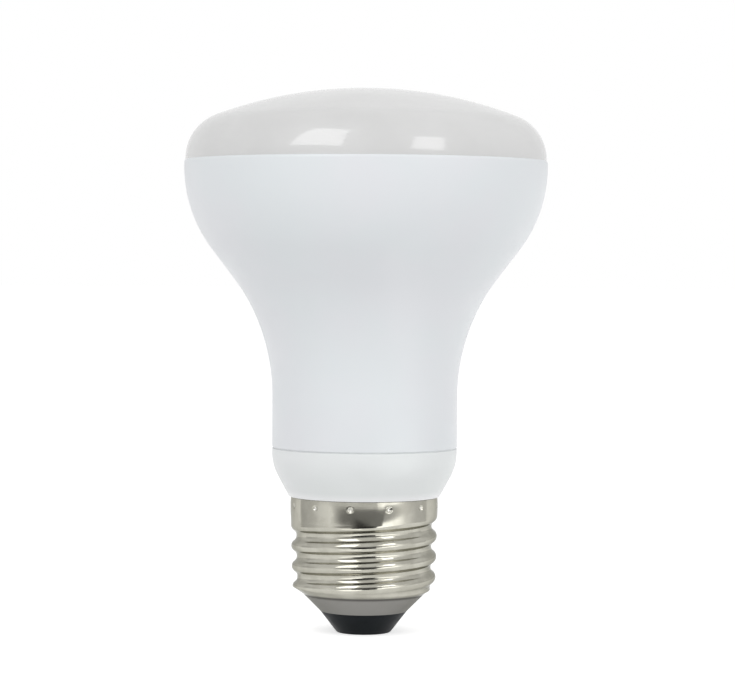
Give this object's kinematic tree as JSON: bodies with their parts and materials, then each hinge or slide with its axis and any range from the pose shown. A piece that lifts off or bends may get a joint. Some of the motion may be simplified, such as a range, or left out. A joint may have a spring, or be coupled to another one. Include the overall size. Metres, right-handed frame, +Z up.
{
  "type": "reflector bulb",
  "caption": "Reflector lamp bulb with a frosted domed lens, a white bowl and neck housing, a tapered collar and a medium screw cap with a black insulated foot.",
  "frame": {"origin": "middle of the foot of the screw cap, on the face of the centre contact", "axes": "+Z up the bulb's axis from the cap to the lens, +X to the right and -Y towards the viewer in the picture"},
  "size_m": [0.064, 0.064, 0.096],
  "materials": {
    "frosted_lens": "frosted translucent diffuser with a soft sheen",
    "white_plastic": "satin white moulded plastic",
    "nickel_plate": "nickel-plated rolled sheet",
    "black_insulator": "black moulded insulator",
    "contact_metal": "tinned contact disc"
  },
  "bodies": {
    "root": {"lens": "frosted_lens", "housing": "white_plastic", "collar": "white_plastic", "screw_shell": "nickel_plate", "insulator": "black_insulator", "centre_contact": "contact_metal"}
  },
  "joints": []
}
